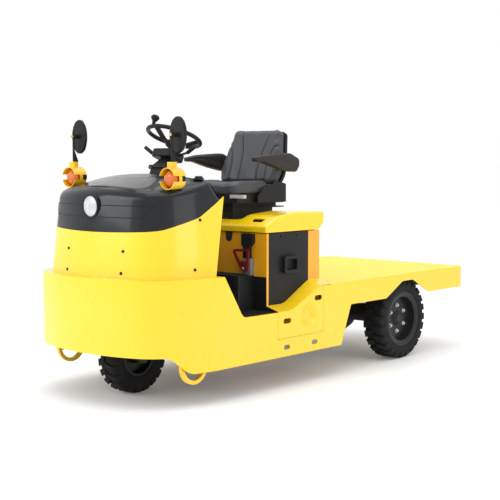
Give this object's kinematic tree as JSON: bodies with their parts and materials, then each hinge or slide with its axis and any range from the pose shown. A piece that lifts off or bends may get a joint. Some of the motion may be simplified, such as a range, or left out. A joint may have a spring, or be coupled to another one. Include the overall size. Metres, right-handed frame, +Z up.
{
  "type": "electric tow tractor with a load deck",
  "caption": "Three-wheeled electric tow tractor: sit-on driver behind a rounded nose, battery box under the seat, flat load deck and rear drawbar coupling.",
  "frame": {"origin": "on the ground under the middle of the overall length and width", "axes": "+Z up, the nose points to -Y, the vehicle's left side is +X"},
  "size_m": [1.05, 2.75, 1.4179],
  "materials": {
    "body_yellow": "gloss paint",
    "housing_yellow": "gloss paint",
    "deck_yellow": "chequer plate",
    "black_plastic": "moulded",
    "grey_plastic": "moulded",
    "red_plastic": "moulded",
    "amber_plastic": "clear amber",
    "tail_red": "clear red",
    "lamp_yellow": "gloss paint",
    "clear_glass": "clear",
    "black_steel": "satin black",
    "grey_steel": "grey",
    "bright_steel": "zinc plated",
    "battery_case": "case",
    "seat_vinyl": "grained vinyl",
    "armrest_foam": "skinned foam",
    "tyre": "rubber",
    "wheel_black": "satin black",
    "axle_iron": "cast",
    "motor_grey": "painted"
  },
  "bodies": {
    "root": {"battery": "battery_case", "battery_housing": "housing_yellow", "body_shell": "body_yellow", "cable_connector": "black_plastic", "cross_members": "black_steel", "deck_floor": "deck_yellow", "drive_motor": "motor_grey", "floor_and_steps": "black_steel", "footwell_liner": "black_plastic", "frame_rails": "black_steel", "handle_bracket": "grey_steel", "headlight_bezel": "black_plastic", "headlight_lens": "clear_glass", "hood": "black_plastic", "lamp_guards": "lamp_yellow", "lamp_lenses": "amber_plastic", "lamp_sockets": "black_plastic", "leaf_springs": "black_steel", "lid_supports": "black_steel", "mirrors": "black_plastic", "nose_panel": "body_yellow", "pedal_set": "black_steel", "pull_handle": "red_plastic", "rear_axle": "axle_iron", "side_hatches": "body_yellow", "side_ledges": "body_yellow", "side_panels": "black_steel", "spring_hangers": "black_steel", "steering_column": "black_plastic", "steering_deck": "black_steel", "tail_lamps": "tail_red", "tow_coupling": "black_steel", "tow_loops": "body_yellow"},
    "lid": {"battery_lid": "body_yellow", "seat_frame": "black_steel", "seat_cushion": "seat_vinyl", "seat_back": "seat_vinyl", "seat_back_shell": "black_plastic", "adjuster_lever": "grey_plastic"},
    "armrest_left": {"armrest_left": "armrest_foam"},
    "armrest_right": {"armrest_right": "armrest_foam"},
    "steering_wheel": {"steering_wheel": "black_plastic"},
    "steer": {"steer_fork": "black_steel"},
    "front_wheel": {"front_tyre": "tyre", "front_rim": "wheel_black"},
    "rear_wheel_left": {"rear_tyre_left": "tyre", "rear_rim_left": "wheel_black"},
    "rear_wheel_right": {"rear_tyre_right": "tyre", "rear_rim_right": "wheel_black"},
    "coupling_pin": {"coupling_pin": "bright_steel"}
  },
  "joints": [
    {"name": "lid_hinge", "type": "hinge", "parent": "root", "child": "lid", "pos_m": [0, -0.032, 0.801], "axis": [-1, 0, 0], "range_deg": [0, 60]},
    {"name": "armrest_left_hinge", "type": "hinge", "parent": "lid", "child": "armrest_left", "pos_m": [0.255, -0.05519, 1.1576], "axis": [-1, 0, 0], "range_deg": [0, 85]},
    {"name": "armrest_right_hinge", "type": "hinge", "parent": "lid", "child": "armrest_right", "pos_m": [-0.255, -0.05519, 1.1576], "axis": [-1, 0, 0], "range_deg": [0, 85]},
    {"name": "steer", "type": "hinge", "parent": "root", "child": "steer", "pos_m": [0, -1.025, 0.44], "axis": [0, 0, 1], "range_deg": [-75, 75]},
    {"name": "steering_wheel_turn", "type": "hinge", "parent": "root", "child": "steering_wheel", "pos_m": [0, -0.72, 1.305], "axis": [0, 0.3746, 0.9272], "range_deg": [-900, 900]},
    {"name": "front_wheel_roll", "type": "hinge", "parent": "steer", "child": "front_wheel", "pos_m": [0, -1.025, 0.1915], "axis": [1, 0, 0], "continuous": true},
    {"name": "rear_left_roll", "type": "hinge", "parent": "root", "child": "rear_wheel_left", "pos_m": [0.43, 0.7, 0.2375], "axis": [1, 0, 0], "continuous": true},
    {"name": "rear_right_roll", "type": "hinge", "parent": "root", "child": "rear_wheel_right", "pos_m": [-0.43, 0.7, 0.2375], "axis": [1, 0, 0], "continuous": true},
    {"name": "pin_lift", "type": "slide", "parent": "root", "child": "coupling_pin", "axis": [0, 0, 1], "range_m": [0, 0.09]}
  ],
  "couplings": [
    {"joint": "steering_wheel_turn", "follows": "steer", "ratio": 12}
  ]
}
